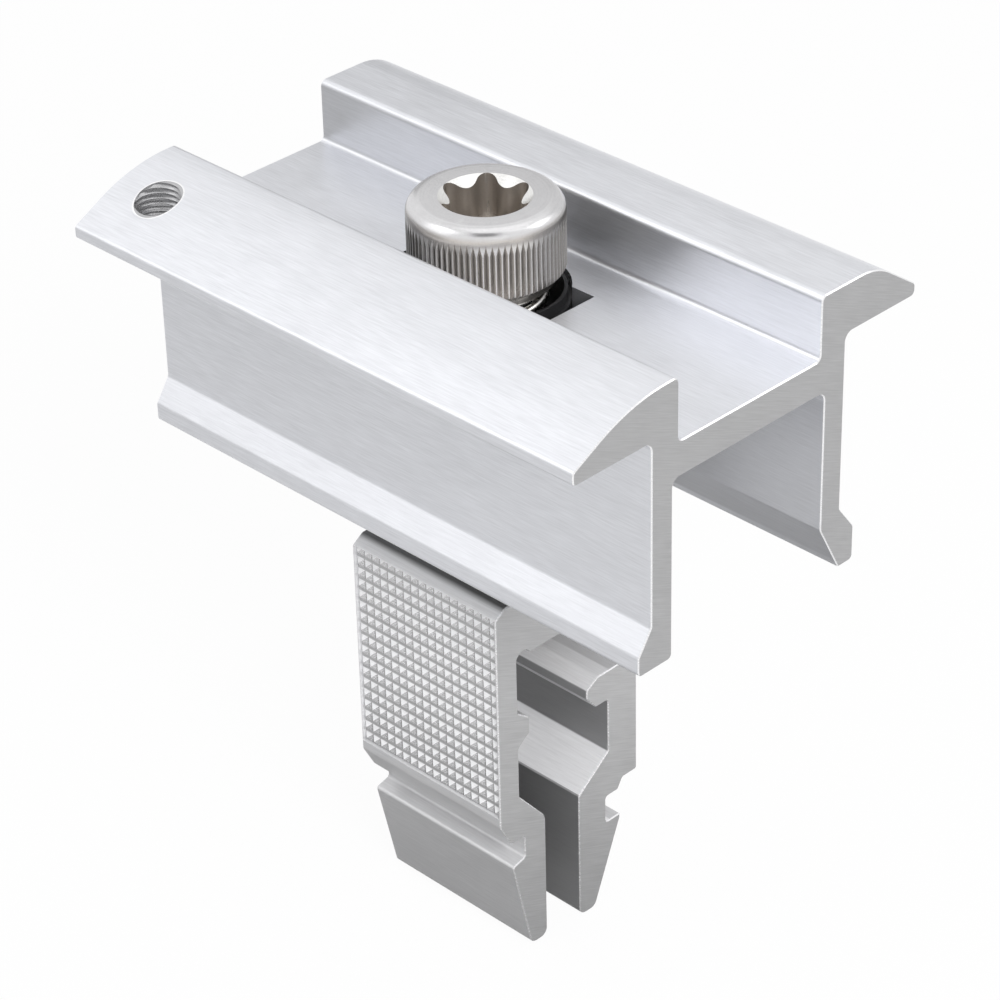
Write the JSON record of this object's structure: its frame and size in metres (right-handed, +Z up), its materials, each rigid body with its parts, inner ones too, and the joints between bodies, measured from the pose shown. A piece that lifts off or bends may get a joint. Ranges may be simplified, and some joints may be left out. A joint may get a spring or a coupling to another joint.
{
  "type": "solar panel mid clamp",
  "caption": "Extruded channel clamp that holds two module frames side by side, with a socket head screw through it into a hooked jaw that clips into a rail.",
  "frame": {"origin": "on the screw's axis at the level of the channel floor, in the middle of the clamp's length", "axes": "+X along the extrusion, +Y across it towards the swinging jaw, +Z up along the screw towards the tool"},
  "size_m": [0.058, 0.0402, 0.0711],
  "materials": {
    "clamp_aluminium": "pale satin, finely brushed along the extrusion",
    "jaw_aluminium": "satin, a little darker than the clamp",
    "stainless": "satin stainless",
    "spring_steel": "bright drawn wire and strip",
    "black_plastic": "matte black"
  },
  "bodies": {
    "rail_jaw": {"front_jaw": "jaw_aluminium", "jaw_spring": "spring_steel", "lift_spring": "spring_steel"},
    "clamp": {"clamp_body": "clamp_aluminium", "guide_sleeve": "black_plastic"},
    "screw": {"cap_screw": "stainless"},
    "swing_jaw": {"rear_jaw": "jaw_aluminium"}
  },
  "joints": [
    {"name": "clamp_slide", "type": "slide", "parent": "rail_jaw", "child": "clamp", "axis": [0, 0, -1], "range_m": [0, 0.00625], "deforming": ["lift_spring"]},
    {"name": "screw_turn", "type": "hinge", "parent": "clamp", "child": "screw", "pos_m": [0, 0, 0], "axis": [0, 0, -1], "range_deg": [0, 1800]},
    {"name": "jaw_swing", "type": "hinge", "parent": "rail_jaw", "child": "swing_jaw", "pos_m": [0, 0.0062, -0.0286], "axis": [-1, 0, 0], "range_deg": [0, 5], "stiffness_Nm_per_rad": 0.05}
  ],
  "couplings": [
    {"joint": "screw_turn", "follows": "clamp_slide", "rad_per_m": 5026.5}
  ]
}
